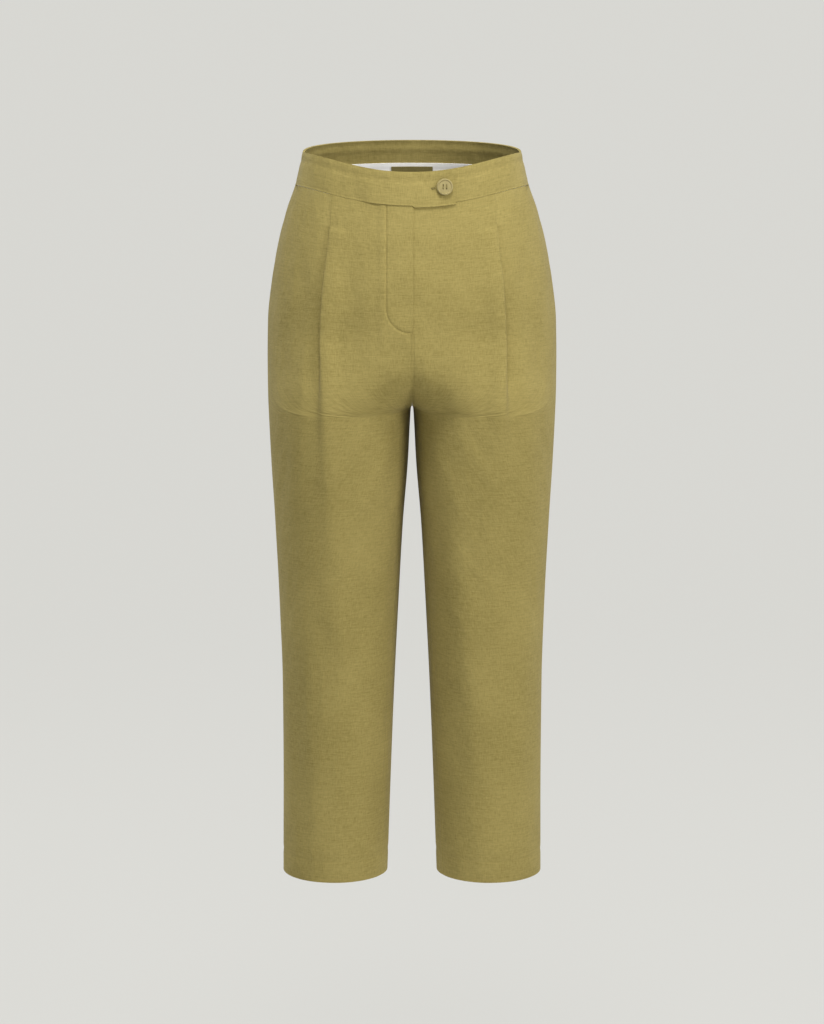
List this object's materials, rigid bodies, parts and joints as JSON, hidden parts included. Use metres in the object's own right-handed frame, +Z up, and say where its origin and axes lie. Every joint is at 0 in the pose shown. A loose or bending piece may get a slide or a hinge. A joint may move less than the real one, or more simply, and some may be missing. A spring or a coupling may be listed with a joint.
{
  "type": "cropped pleated trousers",
  "caption": "Cropped straight trousers with front pleats, slant pockets, a tabbed waistband and a button, filled out as worn.",
  "frame": {"origin": "middle of the waist opening, level with the waistband's top edge at the sides", "axes": "+Z up along the body, the front faces -Y, +X is the wearer's left"},
  "size_m": [0.3626, 0.2597, 0.9328],
  "materials": {
    "linen": "olive linen with slubs, matte",
    "lining": "white cotton lining, matte",
    "label": "dark olive woven label, blank",
    "button": "olive resin, satin"
  },
  "bodies": {
    "root": {"front_right": "linen", "front_left": "linen", "back_right": "linen", "back_left": "linen", "pocket_facing_right": "linen", "pocket_facing_left": "linen", "fly_facing": "linen", "fly_underlap": "linen", "waistband_front_right": "linen", "waistband_front_left": "linen", "waistband_back": "linen", "waist_lining_back": "lining", "label": "label", "button": "button"}
  },
  "joints": []
}
